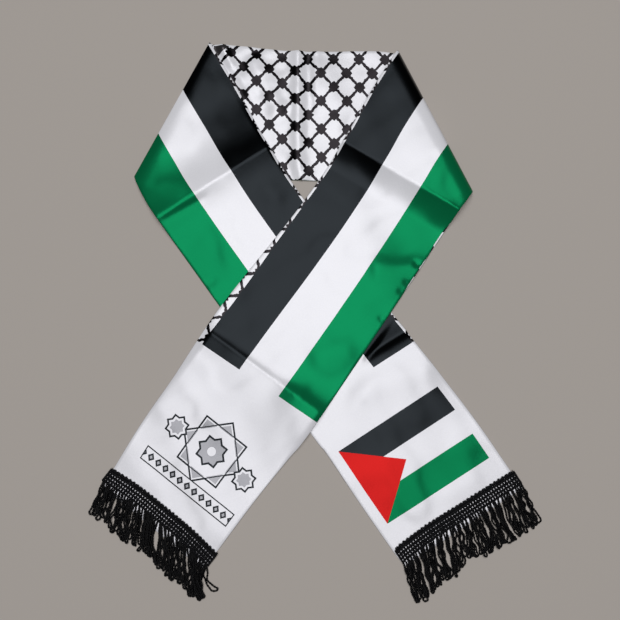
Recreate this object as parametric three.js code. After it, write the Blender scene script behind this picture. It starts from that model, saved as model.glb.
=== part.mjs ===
// Printed satin scarf with fringed ends, laid flat like a neck loop. Millimetres, +Z up,
// origin on the resting surface under the middle of the scarf.
// The cloth is one long flat tube: it lies keffiyeh face up across the top, turns over at two
// diagonal folds, and its two tails cross below and end in a heading braid with a looped fringe.
import * as THREE from 'three';

// Cloth
const WALL = 1;                 // one layer of satin
const SLIT = 0.3;               // air between the two layers of the flat tube
const GAP = 0.3;                // clearance where pieces meet
const HALF = WALL + SLIT / 2;   // half the thickness of the flat tube
const LAYER = 2 * HALF + GAP;   // rise of a stretch that lies on another one
const ACROSS = 8;               // cells across the scarf

// Folds and steps in the cloth
const FOLD_RADIUS = 2.25;       // middle of the cloth at a diagonal fold
const FOLD_STEPS = 6;           // sections round a fold
const FOLD_FADE = 34;           // distance in which the puffed fold settles
const LEDGE = 18;               // the cloth stays up this far past an edge that it lies on
const SLOPE = 20;               // and comes down over this distance
const WIDE_LEDGE = 34;          // the same ledge for a third layer

// Fringe trim
const BRAID_WIDTH = 13;
const BRAID_THICK = 1.8;
const BRAID_OVERHANG = 1.2;     // the braid is this much wider than the cloth at each side
const FRINGE_THICK = 4.2;

// Sections of each stretch, seen from above: where it has its black edge and its green edge,
// and how many steps lead to the next section.
const NECK_SECTIONS = [
  { name: 'left fold',    blackX: -110.5, blackY: 287.0, greenX: -186.7, greenY: 141.2, steps: 2 },
  { name: 'left corner',  blackX:  -80.0, blackY: 283.0, greenX: -130.0, greenY: 143.0, steps: 3 },
  { name: 'middle crease', blackX: -18.5, blackY: 277.0, greenX:  -17.0, greenY: 137.8, steps: 4 },
  { name: 'right corner', blackX:   60.0, blackY: 277.2, greenX:  115.0, greenY: 132.5, steps: 2 },
  { name: 'right fold',   blackX:   88.5, blackY: 277.0, greenX:  163.9, greenY: 125.4, steps: 0 },
];
const UNDER_TAIL_SECTIONS = [
  { name: 'left fold',          blackX: -110.5, blackY:  287.0, greenX: -186.7, greenY:  141.2, steps: 5 },
  { name: 'leaving the neck',   blackX:  -80.0, blackY:  235.0, greenX: -176.0, greenY:  119.5, steps: 6 },
  { name: 'upper crease',       blackX:  -48.0, blackY:  175.0, greenX: -160.5, greenY:   95.5, steps: 8 },
  { name: 'going underneath',   blackX:  -10.0, blackY:  117.0, greenX:  -97.5, greenY:    7.5, steps: 10 },
  { name: 'coming out',         blackX:   79.0, blackY:    0.0, greenX:   -4.0, greenY: -121.5, steps: 5 },
  { name: 'end panel',          blackX:  125.5, blackY:  -60.0, greenX:   12.4, greenY: -142.2, steps: 3 },
  { name: 'middle of the panel', blackX: 161.5, blackY: -108.0, greenX:   46.0, greenY: -192.0, steps: 3 },
  { name: 'top of the braid',   blackX:  196.5, blackY: -159.5, greenX:   79.4, greenY: -239.5, steps: 1 },
  { name: 'end of the cloth',   blackX:  204.2, blackY: -170.3, greenX:   87.5, greenY: -249.5, steps: 0 },
];
const OVER_TAIL_SECTIONS = [
  { name: 'right fold',         blackX:   88.5, blackY:  277.0, greenX:  163.9, greenY:  125.4, steps: 5 },
  { name: 'leaving the neck',   blackX:   60.0, blackY:  231.0, greenX:  154.3, greenY:  112.2, steps: 6 },
  { name: 'upper crease',       blackX:   31.5, blackY:  179.5, greenX:  141.3, greenY:   94.0, steps: 8 },
  { name: 'onto the under tail', blackX: -10.0, blackY:  116.0, greenX:   78.3, greenY:    0.2, steps: 10 },
  { name: 'off the under tail', blackX:  -96.0, blackY:    5.0, greenX:   -2.0, greenY: -117.6, steps: 5 },
  { name: 'end panel',          blackX: -143.5, blackY:  -67.5, greenX:  -27.0, greenY: -148.6, steps: 3 },
  { name: 'middle of the panel', blackX: -174.5, blackY: -113.0, greenX: -60.0, greenY: -189.5, steps: 3 },
  { name: 'top of the braid',   blackX: -200.5, blackY: -156.5, greenX:  -96.5, greenY: -238.0, steps: 1 },
  { name: 'end of the cloth',   blackX: -208.0, blackY: -167.2, greenX: -104.0, greenY: -248.7, steps: 0 },
];

// Reach of each fringe: where it starts along the end of the cloth (share of the way from the
// black edge to the green edge) and where its loops end.
const UNDER_FRINGE_ROWS = [
  { name: 'black side',  share: 0,    tipX: 225.0, tipY: -208.0 },
  { name: 'outer loops', share: 0.25, tipX: 195.0, tipY: -228.0 },
  { name: 'middle',      share: 0.5,  tipX: 162.0, tipY: -243.5 },
  { name: 'inner loops', share: 0.75, tipX: 131.0, tipY: -268.0 },
  { name: 'green side',  share: 1,    tipX:  97.5, tipY: -286.5 },
];
const OVER_FRINGE_ROWS = [
  { name: 'black side',  share: 0,    tipX: -225.0, tipY: -199.0 },
  { name: 'outer loops', share: 0.25, tipX: -203.0, tipY: -217.0 },
  { name: 'middle',      share: 0.5,  tipX: -172.0, tipY: -241.0 },
  { name: 'inner loops', share: 0.75, tipX: -140.0, tipY: -264.0 },
  { name: 'green side',  share: 1,    tipX: -108.0, tipY: -284.0 },
];

const satin = () => new THREE.MeshStandardMaterial({ color: 0xe2e1e6, roughness: 0.35, metalness: 0 });
const braidYarn = () => new THREE.MeshStandardMaterial({ color: 0x14151a, roughness: 0.75, metalness: 0 });
const fringeYarn = () => new THREE.MeshStandardMaterial({ color: 0x101114, roughness: 0.6, metalness: 0 });

const blackPoint = (section) => new THREE.Vector2(section.blackX, section.blackY);
const greenPoint = (section) => new THREE.Vector2(section.greenX, section.greenY);

// Distance of a place from the line through two points, positive on the side that faces `outside`.
function distanceBeyond(place, from, to, outside) {
  const along = to.clone().sub(from).normalize();
  const normal = new THREE.Vector2(-along.y, along.x);
  if (normal.dot(outside.clone().sub(from)) < 0) normal.negate();
  return normal.dot(place.clone().sub(from));
}

// 1 on the piece beneath and on the ledge past its edge, falling smoothly to 0 on the slope.
function coverPast(distance, ledge) {
  return 1 - THREE.MathUtils.smoothstep(distance, ledge, ledge + SLOPE);
}

const MIDDLE = new THREE.Vector2(0, 0);
const RIGHT_SIDE = new THREE.Vector2(200, 200);     // a place beyond the under tail's black edge
const LEFT_SIDE = new THREE.Vector2(-200, -200);    // and one beyond its green edge

function coverOfNeck(place, ledge) {
  const left = greenPoint(NECK_SECTIONS[0]);
  const right = greenPoint(NECK_SECTIONS[NECK_SECTIONS.length - 1]);
  return coverPast(distanceBeyond(place, left, right, MIDDLE), ledge);
}

function coverOfUnderTail(place) {
  const entering = UNDER_TAIL_SECTIONS.find((section) => section.name === 'going underneath');
  const leaving = UNDER_TAIL_SECTIONS.find((section) => section.name === 'coming out');
  const pastBlack = distanceBeyond(place, blackPoint(entering), blackPoint(leaving), RIGHT_SIDE);
  const pastGreen = distanceBeyond(place, greenPoint(entering), greenPoint(leaving), LEFT_SIDE);
  return coverPast(Math.max(pastBlack, pastGreen), LEDGE);
}

// Puff of a tail beside its own fold, 1 at the fold.
function puffAtFold(place, foldSection) {
  const inward = distanceBeyond(place, blackPoint(foldSection), greenPoint(foldSection), MIDDLE);
  return 1 - THREE.MathUtils.smoothstep(inward, 0, FOLD_FADE);
}

const FOLD_RISE = 2 * FOLD_RADIUS - LAYER;   // what a puffed fold adds to a plain layer
const underTailLift = (place) =>
  LAYER * coverOfNeck(place, LEDGE) + FOLD_RISE * puffAtFold(place, UNDER_TAIL_SECTIONS[0]);
const overTailLift = (place) =>
  LAYER * (coverOfNeck(place, WIDE_LEDGE) + coverOfUnderTail(place))
  + FOLD_RISE * puffAtFold(place, OVER_TAIL_SECTIONS[0]);

// The two edges of a stretch as smooth curves through its sections, sampled at every step.
function sampleEdges(sections) {
  const black = new THREE.SplineCurve(sections.map(blackPoint));
  const green = new THREE.SplineCurve(sections.map(greenPoint));
  const stations = [];
  sections.forEach((section, index) => {
    const steps = Math.max(section.steps, 1);
    for (let step = 0; step < steps; step += 1) {
      const along = Math.min((index + step / steps) / (sections.length - 1), 1);
      if (index < sections.length - 1 || step === 0) {
        stations.push({ black: black.getPoint(along), green: green.getPoint(along) });
      }
    }
  });
  return stations;
}

// Moves a fold's section inward from the outline, to where the turn of the cloth begins.
function insetFold(section, distance) {
  const black = blackPoint(section);
  const green = greenPoint(section);
  const along = green.clone().sub(black).normalize();
  const inward = new THREE.Vector2(-along.y, along.x);
  if (inward.dot(MIDDLE.clone().sub(black)) < 0) inward.negate();
  const shift = inward.multiplyScalar(distance);
  return {
    ...section,
    blackX: section.blackX + shift.x, blackY: section.blackY + shift.y,
    greenX: section.greenX + shift.x, greenY: section.greenY + shift.y,
  };
}

const TURN_INSET = FOLD_RADIUS + HALF;

// One row of mid-surface points across the cloth, between the rounded edges.
function rowAcross(station, heightAt) {
  const width = station.green.distanceTo(station.black);
  const row = [];
  for (let cell = 0; cell <= ACROSS; cell += 1) {
    const inset = HALF / width;
    const share = inset + (1 - 2 * inset) * (cell / ACROSS);
    const place = station.black.clone().lerp(station.green, share);
    row.push(new THREE.Vector3(place.x, place.y, heightAt(place)));
  }
  return row;
}

function neckRows() {
  const sections = NECK_SECTIONS.slice();
  const last = sections.length - 1;
  sections[0] = insetFold(sections[0], TURN_INSET + GAP);
  sections[last] = insetFold(sections[last], TURN_INSET + GAP);
  return sampleEdges(sections).map((station) => rowAcross(station, () => HALF));
}

// A tail starts on the neck's level, turns over in a half circle and then lies on what is below.
function tailRows(sections, liftAt) {
  const turned = [insetFold(sections[0], TURN_INSET), ...sections.slice(1)];
  const stations = sampleEdges(turned);
  const start = rowAcross(stations[0], () => HALF);
  const outward = blackPoint(sections[0]).sub(blackPoint(turned[0])).normalize();
  const rows = [];
  for (let step = 0; step < FOLD_STEPS; step += 1) {
    const angle = Math.PI * step / FOLD_STEPS;
    const reach = FOLD_RADIUS * Math.sin(angle);
    const rise = FOLD_RADIUS * (1 - Math.cos(angle));
    rows.push(start.map((point) => new THREE.Vector3(
      point.x + outward.x * reach, point.y + outward.y * reach, point.z + rise)));
  }
  stations.forEach((station) => rows.push(rowAcross(station, (place) => HALF + liftAt(place))));
  rows.startDirection = new THREE.Vector3(outward.x, outward.y, 0);
  return rows;
}

// Unit normal of the mid-surface at one point, from its neighbours along and across.
// A stretch with a start direction leaves its first row exactly that way.
function normalAt(rows, along, across) {
  const before = rows[Math.max(along - 1, 0)][across];
  const after = rows[Math.min(along + 1, rows.length - 1)][across];
  const onward = along === 0 && rows.startDirection ? rows.startDirection.clone() : after.clone().sub(before);
  const left = rows[along][Math.max(across - 1, 0)];
  const right = rows[along][Math.min(across + 1, rows[along].length - 1)];
  return onward.cross(right.clone().sub(left)).normalize();
}

// Closed solid from points and triangles, turned so that its faces point outward.
function closedSolid(points, triangles) {
  let volume = 0;
  triangles.forEach(([a, b, c]) => {
    volume += points[a].dot(points[b].clone().cross(points[c]));
  });
  const facing = volume < 0 ? triangles.map(([a, b, c]) => [a, c, b]) : triangles;
  const geometry = new THREE.BufferGeometry().setFromPoints(points);
  geometry.setIndex(facing.flat());
  return geometry;
}

// Flat tube round a mid-surface: every row becomes an outer ring with rounded edges and an
// inner ring round the slit, rings are joined along the cloth, and the two ends are rims.
function flatTube(rows) {
  const points = [];
  const triangles = [];
  const sides = rows[0].length;
  const outerCount = 2 * sides + 2;
  const innerCount = 2 * sides;
  const ringCount = outerCount + innerCount;
  rows.forEach((row, along) => {
    const normals = row.map((point, across) => normalAt(rows, along, across));
    const offset = (across, distance) => row[across].clone().addScaledVector(normals[across], distance);
    const pushOut = (across, neighbour) => row[across].clone().add(
      row[across].clone().sub(row[neighbour]).setLength(HALF));
    for (let across = 0; across < sides; across += 1) points.push(offset(across, HALF));
    points.push(pushOut(sides - 1, sides - 2));
    for (let across = sides - 1; across >= 0; across -= 1) points.push(offset(across, -HALF));
    points.push(pushOut(0, 1));
    for (let across = 0; across < sides; across += 1) points.push(offset(across, SLIT / 2));
    for (let across = sides - 1; across >= 0; across -= 1) points.push(offset(across, -SLIT / 2));
  });
  const quad = (a, b, c, d) => triangles.push([a, b, c], [a, c, d]);
  for (let along = 0; along < rows.length - 1; along += 1) {
    const here = along * ringCount;
    const next = here + ringCount;
    for (let i = 0; i < outerCount; i += 1) {
      const j = (i + 1) % outerCount;
      quad(here + i, here + j, next + j, next + i);
    }
    for (let i = 0; i < innerCount; i += 1) {
      const j = (i + 1) % innerCount;
      quad(here + outerCount + i, next + outerCount + i, next + outerCount + j, here + outerCount + j);
    }
  }
  rimOf(0, sides, outerCount, quad, triangles, false);
  rimOf((rows.length - 1) * ringCount, sides, outerCount, quad, triangles, true);
  return closedSolid(points, triangles);
}

// Rim at one end of a flat tube, between its outer ring and its inner ring.
function rimOf(start, sides, outerCount, quad, triangles, flipped) {
  const add = (a, b, c, d) => (flipped ? quad(a, b, c, d) : quad(d, c, b, a));
  const inner = start + outerCount;
  for (let i = 0; i < sides - 1; i += 1) {
    add(start + i, start + i + 1, inner + i + 1, inner + i);
    const lower = start + sides + 1 + i;
    add(lower, lower + 1, inner + sides + i + 1, inner + sides + i);
  }
  const edges = [
    [start + sides - 1, start + sides, start + sides + 1, inner + sides, inner + sides - 1],
    [start + outerCount - 2, start + outerCount - 1, start, inner, inner + 2 * sides - 1],
  ];
  edges.forEach(([upper, middle, lower, innerLower, innerUpper]) => {
    const corner = (a, b, c) => triangles.push(flipped ? [a, b, c] : [c, b, a]);
    corner(upper, middle, innerUpper);
    corner(middle, lower, innerLower);
    corner(middle, innerLower, innerUpper);
  });
}

// Level slab between two height values over a plan outline.
function slab(outline, bottom, top) {
  const shape = new THREE.Shape(outline);
  const geometry = new THREE.ExtrudeGeometry(shape, { depth: top - bottom, bevelEnabled: false });
  geometry.translate(0, 0, bottom);
  return geometry;
}

// Braid sewn on top of the end of the tail, a little wider than the cloth.
function headingBraid(sections) {
  const top = sections[sections.length - 2];
  const end = sections[sections.length - 1];
  const across = greenPoint(end).sub(blackPoint(end)).setLength(BRAID_OVERHANG);
  const back = blackPoint(top).sub(blackPoint(end)).setLength(BRAID_WIDTH);
  const black = blackPoint(end).sub(across);
  const green = greenPoint(end).add(across);
  const bottom = 2 * HALF + GAP;
  return slab([black, green, green.clone().add(back), black.clone().add(back)], bottom, bottom + BRAID_THICK);
}

// Plain slab of the fringe's reach, from the end of the cloth to the ends of its loops.
function fringe(sections, rows) {
  const top = sections[sections.length - 2];
  const end = sections[sections.length - 1];
  const onward = blackPoint(end).sub(blackPoint(top)).setLength(GAP);
  const start = rows.map((row) => blackPoint(end).lerp(greenPoint(end), row.share).add(onward));
  const tips = rows.map((row) => new THREE.Vector2(row.tipX, row.tipY));
  return slab([...start, ...tips.reverse()], 0, FRINGE_THICK);
}

function piece(name, geometry, material) {
  const mesh = new THREE.Mesh(geometry, material);
  mesh.name = name;
  return mesh;
}

const scarf = new THREE.Group();
scarf.add(piece('neck_stretch', flatTube(neckRows()), satin()));
scarf.add(piece('under_tail', flatTube(tailRows(UNDER_TAIL_SECTIONS, underTailLift)), satin()));
scarf.add(piece('over_tail', flatTube(tailRows(OVER_TAIL_SECTIONS, overTailLift)), satin()));
scarf.add(piece('under_tail_heading', headingBraid(UNDER_TAIL_SECTIONS), braidYarn()));
scarf.add(piece('over_tail_heading', headingBraid(OVER_TAIL_SECTIONS), braidYarn()));
scarf.add(piece('under_tail_fringe', fringe(UNDER_TAIL_SECTIONS, UNDER_FRINGE_ROWS), fringeYarn()));
scarf.add(piece('over_tail_fringe', fringe(OVER_TAIL_SECTIONS, OVER_FRINGE_ROWS), fringeYarn()));

export default scarf;
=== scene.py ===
from functools import partialmethod

import bpy
import numpy as np
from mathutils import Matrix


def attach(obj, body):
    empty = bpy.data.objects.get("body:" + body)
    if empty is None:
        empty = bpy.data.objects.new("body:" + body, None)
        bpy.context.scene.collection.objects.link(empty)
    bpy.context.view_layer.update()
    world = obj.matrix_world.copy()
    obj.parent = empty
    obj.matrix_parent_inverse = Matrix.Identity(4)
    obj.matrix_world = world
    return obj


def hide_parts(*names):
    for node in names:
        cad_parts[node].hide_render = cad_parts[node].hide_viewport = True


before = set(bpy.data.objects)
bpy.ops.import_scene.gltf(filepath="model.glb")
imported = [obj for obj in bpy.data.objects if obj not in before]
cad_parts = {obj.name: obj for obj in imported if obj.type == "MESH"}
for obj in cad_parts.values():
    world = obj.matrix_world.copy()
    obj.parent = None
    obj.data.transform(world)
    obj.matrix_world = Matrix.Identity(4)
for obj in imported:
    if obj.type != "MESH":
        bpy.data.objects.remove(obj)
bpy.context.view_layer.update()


# ---------------------------------------------------------------------------------------------
# Neck stretch. The scarf is one strip of printed polyester satin, folded lengthwise along its
# black edge and seamed along its green edge into a flat tube. This stretch lies across the top,
# keffiyeh print up, and turns over at a diagonal fold at each end.
# ---------------------------------------------------------------------------------------------
MM = 0.001
SCARF_WIDTH = 140.0          # flat tube, millimetres as in the tables below
HALF = 0.8                   # half the thickness of the flat tube
SLIT = 0.2                   # air between its two layers
LAYER = 2 * HALF + 0.2       # rise of a stretch that lies on another one
TURN_REACH = 3.5             # length of the cloth that curls up at a diagonal fold
TURN_RISE = 1.7              # height of the fold's outermost line above the flat cloth's middle
CELLS_ACROSS = 60
ROUND_EDGE = (45, 0, -45)    # degrees of the lines that round the tube's edge between its faces


def table(columns, *rows):
    """Rows as dictionaries with the named columns. A row may stop before the last columns."""
    return [dict(zip(columns.split(), row)) for row in rows]


def find(rows, name):
    """The row of a table with that name."""
    return next(row for row in rows if row["name"] == name)


# Lines square across the strip, from its black to its green edge, and the rows of mesh up to
# the next one.
SECTION_COLUMNS = "name black green steps"
NECK_SECTIONS = table(SECTION_COLUMNS,
    ("left fold", (-110.5, 286.5), (-186.7, 141.2), 24),
    ("left corner", (-80.0, 283.2), (-130.0, 143.0), 30),
    ("middle crease", (-18.5, 277.0), (-17.0, 137.8), 34),
    ("right corner", (60.0, 277.2), (115.0, 132.5), 20),
    ("right fold", (88.5, 277.0), (163.9, 125.4), 0))
UNDER_TAIL_SECTIONS = table(SECTION_COLUMNS,
    ("left fold", (-110.5, 286.5), (-186.7, 141.2), 34),
    ("leaving the neck", (-80.0, 235.0), (-176.0, 119.5), 26),
    ("upper crease", (-48.0, 175.0), (-160.5, 95.5), 40),
    ("going underneath", (-10.0, 117.0), (-97.5, 7.5), 40),
    ("coming out", (79.0, 0.0), (-4.0, -121.5), 64),
    ("end panel", (125.5, -60.0), (12.4, -142.2), 24),
    ("middle of the panel", (161.5, -108.0), (46.0, -192.0), 26),
    ("top of the braid", (196.5, -159.5), (79.4, -239.5), 6),
    ("end of the cloth", (207.9, -175.7), (89.6, -251.4), 0))
OVER_TAIL_SECTIONS = table(SECTION_COLUMNS,
    ("right fold", (88.5, 277.0), (163.9, 125.4), 34),
    ("leaving the neck", (60.0, 231.0), (154.3, 112.2), 30),
    ("upper crease", (31.5, 179.5), (141.3, 94.0), 56),
    ("onto the under tail", (-10.0, 116.0), (78.3, 0.2), 44),
    ("off the under tail", (-96.0, 5.0), (-2.0, -117.6), 70),
    ("end panel", (-143.5, -67.5), (-27.0, -148.6), 24),
    ("middle of the panel", (-174.5, -113.0), (-60.0, -189.5), 26),
    ("top of the braid", (-200.5, -156.5), (-96.5, -238.0), 6),
    ("end of the cloth", (-212.4, -173.4), (-108.8, -255.4), 0))


def smooth_rise(value, start, end):
    """0 before start and 1 past end, with the cubic 3x^2 - 2x^3 between them."""
    x = np.clip((value - start) / (end - start), 0.0, 1.0)
    return x * x * (3 - 2 * x)


def through_points(points, places):
    """Smooth curve through points (Catmull-Rom): between two points it is the cubic whose ends
    lean along the line from the point before to the point after. places count the points."""
    points = np.asarray(points, float)
    padded = np.vstack([2 * points[0] - points[1], points, 2 * points[-1] - points[-2]])
    first = np.clip(np.floor(places).astype(int), 0, len(points) - 2)
    x = (places - first)[:, None]
    p0, p1, p2, p3 = (padded[first + k] for k in range(4))
    return 0.5 * (2 * p1 + (p2 - p0) * x + (2 * p0 - 5 * p1 + 4 * p2 - p3) * x**2
                  + (3 * p1 - p0 - 3 * p2 + p3) * x**3)


def edge_curves(sections, crowd_start=False):
    """Black edge and green edge of a stretch, sampled steps times between two sections. With
    crowd_start the first samples crowd towards the fold as the square of their count."""
    places = [np.array([0.0])]
    for index, section in enumerate(sections[:-1]):
        share = np.arange(1, section["steps"] + 1) / section["steps"]
        places.append(index + (share**2 if crowd_start and index == 0 else share))
    places = np.concatenate(places)
    black = through_points([s["black"] for s in sections], places)
    green = through_points([s["green"] for s in sections], places)
    return black, green


def beyond(place, start, end, outside):
    """Distance of plan points from the line start-end, positive on the side of outside."""
    start, end, outside = (np.asarray(p, float) for p in (start, end, outside))
    along = (end - start) / np.linalg.norm(end - start)
    normal = np.array([-along[1], along[0]])
    normal *= np.sign(normal @ (outside - start))
    return (place - start) @ normal


def cover(distance, ledge, slope):
    """1 on the cloth beneath and on a ledge past its edge, then a smooth slope down to 0."""
    return 1 - smooth_rise(distance, ledge, ledge + slope)


def crease_height(place, creases):
    """Sum of the given creases, seen from above along a line from start to end. The ridge falls
    off as e to minus a power of the distance over its left or right width, and fades out past
    the line's ends. With a step, the cloth on the left stands higher and comes down over the
    slide's width to the right of the line, steeply at first."""
    steepness = 1.6
    total = np.zeros(place.shape[:-1])
    for crease in creases:
        start, end = np.array(crease["start"], float), np.array(crease["end"], float)
        length = np.linalg.norm(end - start)
        along = (end - start) / length
        offset = place - start
        run = offset @ along
        side = offset @ np.array([-along[1], along[0]])
        width = np.where(side > 0, crease["left"], crease["right"])
        past = np.maximum(np.maximum(-run, run - length), 0) / crease["fade"]
        total += crease["height"] * np.exp(-(np.abs(side) / width) ** crease["power"] - past**2)
        if "step" in crease:
            total += crease["step"] * np.clip(1 + side / crease["slide"], 0, 1) ** steepness
    return total


def ripples(place, seed, height, shortest, longest, count=9):
    """Soft uneven waves that never dip below the lying cloth: a sum of cosines of random
    direction and wavelength, kept between 0 and the given height by a hyperbolic tangent."""
    rng = np.random.default_rng(seed)
    total = np.zeros(place.shape[:-1])
    for wavelength in np.linspace(shortest, longest, count):
        angle, phase = rng.uniform(0, np.pi), rng.uniform(0, 2 * np.pi)
        direction = np.array([np.cos(angle), np.sin(angle)])
        total += np.cos(2 * np.pi * (place @ direction) / wavelength + phase)
    return height * (0.5 + 0.5 * np.tanh(total / np.sqrt(count / 2)))


def run_lengths(points, from_end):
    """Length along a sampled edge, counted from its last point when from_end is true."""
    steps = np.linalg.norm(np.diff(points, axis=0), axis=1)
    total = np.concatenate([[0], np.cumsum(steps)])
    return total[-1] - total if from_end else total


def across_rows(black, green):
    """Plan points in rows from black edge to green edge, set in by the rounded edges' radius,
    and each point's share of the way across."""
    width = np.linalg.norm(green - black, axis=1)[:, None]
    inset = HALF / width
    share = inset + (1 - 2 * inset) * (np.arange(CELLS_ACROSS + 1) / CELLS_ACROSS)[None, :]
    place = black[:, None, :] * (1 - share[..., None]) + green[:, None, :] * share[..., None]
    return place, share


def flat_tube(name, middle, share, along, drop=0.0):
    """Closed wall of cloth round a middle surface. The outside stands off by HALF along the
    surface's normal on both faces, with half-round edges; the inside stands off by half the
    slit; rims close the two ends. UV is (way round the tube, place along the scarf) in metres,
    0 at the black edge, one width at the green seam and two widths back at the black edge. drop
    shifts the print across the cloth by so many millimetres."""
    rows, cols = share.shape
    d_along = np.gradient(middle, axis=0)
    d_across = np.gradient(middle, axis=1)
    normal = np.cross(d_along, d_across)
    normal /= np.linalg.norm(normal, axis=2, keepdims=True)
    outward = d_across / np.linalg.norm(d_across, axis=2, keepdims=True)
    bend = np.radians(ROUND_EDGE)
    round_green = [middle[:, -1] + HALF * (np.cos(a) * outward[:, -1] + np.sin(a) * normal[:, -1])
                   for a in bend]
    round_black = [middle[:, 0] + HALF * (-np.cos(a) * outward[:, 0] - np.sin(a) * normal[:, 0])
                   for a in bend]
    outer = np.concatenate([middle + HALF * normal, np.stack(round_green, 1),
                            (middle - HALF * normal)[:, ::-1], np.stack(round_black, 1)], axis=1)
    inner = np.concatenate([middle + SLIT / 2 * normal, (middle - SLIT / 2 * normal)[:, ::-1]], axis=1)
    way = share * SCARF_WIDTH + drop
    round_cols = len(ROUND_EDGE)
    edge = np.ones((rows, round_cols))
    outer_way = np.concatenate([way, edge * SCARF_WIDTH, 2 * SCARF_WIDTH - way[:, ::-1],
                                edge * 2 * SCARF_WIDTH], axis=1)
    inner_way = np.concatenate([way, 2 * SCARF_WIDTH - way[:, ::-1]], axis=1)
    green_along, black_along = along[:, -1:], along[:, :1]
    outer_along = np.concatenate([along, np.repeat(green_along, round_cols, 1), along[:, ::-1],
                                  np.repeat(black_along, round_cols, 1)], axis=1)
    inner_along = np.concatenate([along, along[:, ::-1]], axis=1)

    outer_count, inner_count = outer.shape[1], inner.shape[1]
    ring = outer_count + inner_count
    points = np.concatenate([outer, inner], axis=1).reshape(-1, 3)
    start = (np.arange(rows - 1) * ring)[:, None]

    def band(first, count, turned):
        """Quads between neighbouring rings over one closed loop of columns."""
        here = first + np.arange(count)
        after = first + (np.arange(count) + 1) % count
        corners = [here, here + ring, after + ring, after]
        if turned:
            corners.reverse()
        return np.stack([start + c for c in corners], axis=2).reshape(-1, 4)

    def band_uv(ways, alongs, turned):
        """UV of the same quads, going on past the last column instead of back to the first."""
        wrapped = np.concatenate([ways, ways[:, :1] + 2 * SCARF_WIDTH], axis=1)
        runs = np.concatenate([alongs, alongs[:, :1]], axis=1)
        uv = np.stack([wrapped, runs], axis=2)
        corners = [uv[:-1, :-1], uv[1:, :-1], uv[1:, 1:], uv[:-1, 1:]]
        if turned:
            corners.reverse()
        return np.stack(corners, axis=2).reshape(-1, 2)

    def rim(row, turned):
        """Quads that close one end, from the outer loop to the inner loop."""
        base = row * ring
        k = np.arange(cols - 1)
        front = [base + k, base + k + 1, base + outer_count + k + 1, base + outer_count + k]
        back_first, inner_first = base + cols + round_cols, base + outer_count + cols
        back = [back_first + k, back_first + k + 1, inner_first + k + 1, inner_first + k]
        quads = [np.stack(front, 1), np.stack(back, 1)]
        green_edge = [base + cols - 1, base + cols, base + cols + 1, base + cols + 2, back_first]
        black_edge = [back_first + cols - 1, base + outer_count - 3, base + outer_count - 2,
                      base + outer_count - 1, base]
        tips = ((green_edge, inner_first, inner_first - 1),
                (black_edge, base + outer_count, base + ring - 1))
        for outside, low, high in tips:
            quads.append(np.array([[outside[0], outside[1], outside[2], high],
                                   [outside[2], outside[3], outside[4], low]]))
            quads.append(np.array([[outside[2], low, high, high]]))
        quads = np.concatenate(quads)
        return quads[:, ::-1] if turned else quads

    ends = [rim(0, False), rim(rows - 1, True)]
    end_way = np.concatenate([outer_way, inner_way], axis=1).reshape(-1)
    end_along = np.concatenate([outer_along, inner_along], axis=1).reshape(-1)
    quads = np.concatenate([band(0, outer_count, False), band(outer_count, inner_count, True)] + ends)
    end_corners = np.concatenate(ends).reshape(-1)
    uv = np.concatenate([band_uv(outer_way, outer_along, False), band_uv(inner_way, inner_along, True),
                         np.stack([end_way[end_corners], end_along[end_corners]], axis=1)])
    return mesh_piece(name, points * MM, quads, uv * MM)


def mesh_piece(name, points, quads, uv=None):
    """New object from arrays. A quad whose last two corners are the same is a triangle."""
    single = quads[:, 2] == quads[:, 3]
    counts = np.where(single, 3, 4)
    keep = np.ones(quads.shape, bool)
    keep[single, 3] = False
    corners = quads[keep]
    mesh = bpy.data.meshes.new(name)
    mesh.vertices.add(len(points))
    mesh.vertices.foreach_set("co", points.astype(np.float32).ravel())
    mesh.loops.add(len(corners))
    mesh.loops.foreach_set("vertex_index", corners.astype(np.int32))
    mesh.polygons.add(len(counts))
    starts = np.concatenate([[0], np.cumsum(counts)[:-1]])
    mesh.polygons.foreach_set("loop_start", starts.astype(np.int32))
    mesh.polygons.foreach_set("use_smooth", np.ones(len(counts), bool))
    if uv is not None:
        layer = mesh.uv_layers.new(name="cloth")
        layer.data.foreach_set("uv", uv[keep.ravel()].astype(np.float32).ravel())
    mesh.update(calc_edges=True)
    mesh.validate()
    piece = bpy.data.objects.new(name, mesh)
    bpy.context.collection.objects.link(piece)
    return piece


def along_scarf(black, green, share, black_start, green_start, direction):
    """Place along the scarf of each point: the run of the two edges, blended across the row."""
    black_run = black_start + direction * run_lengths(black, False)
    green_run = green_start + direction * run_lengths(green, False)
    return black_run[:, None] * (1 - share) + green_run[:, None] * share


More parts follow.
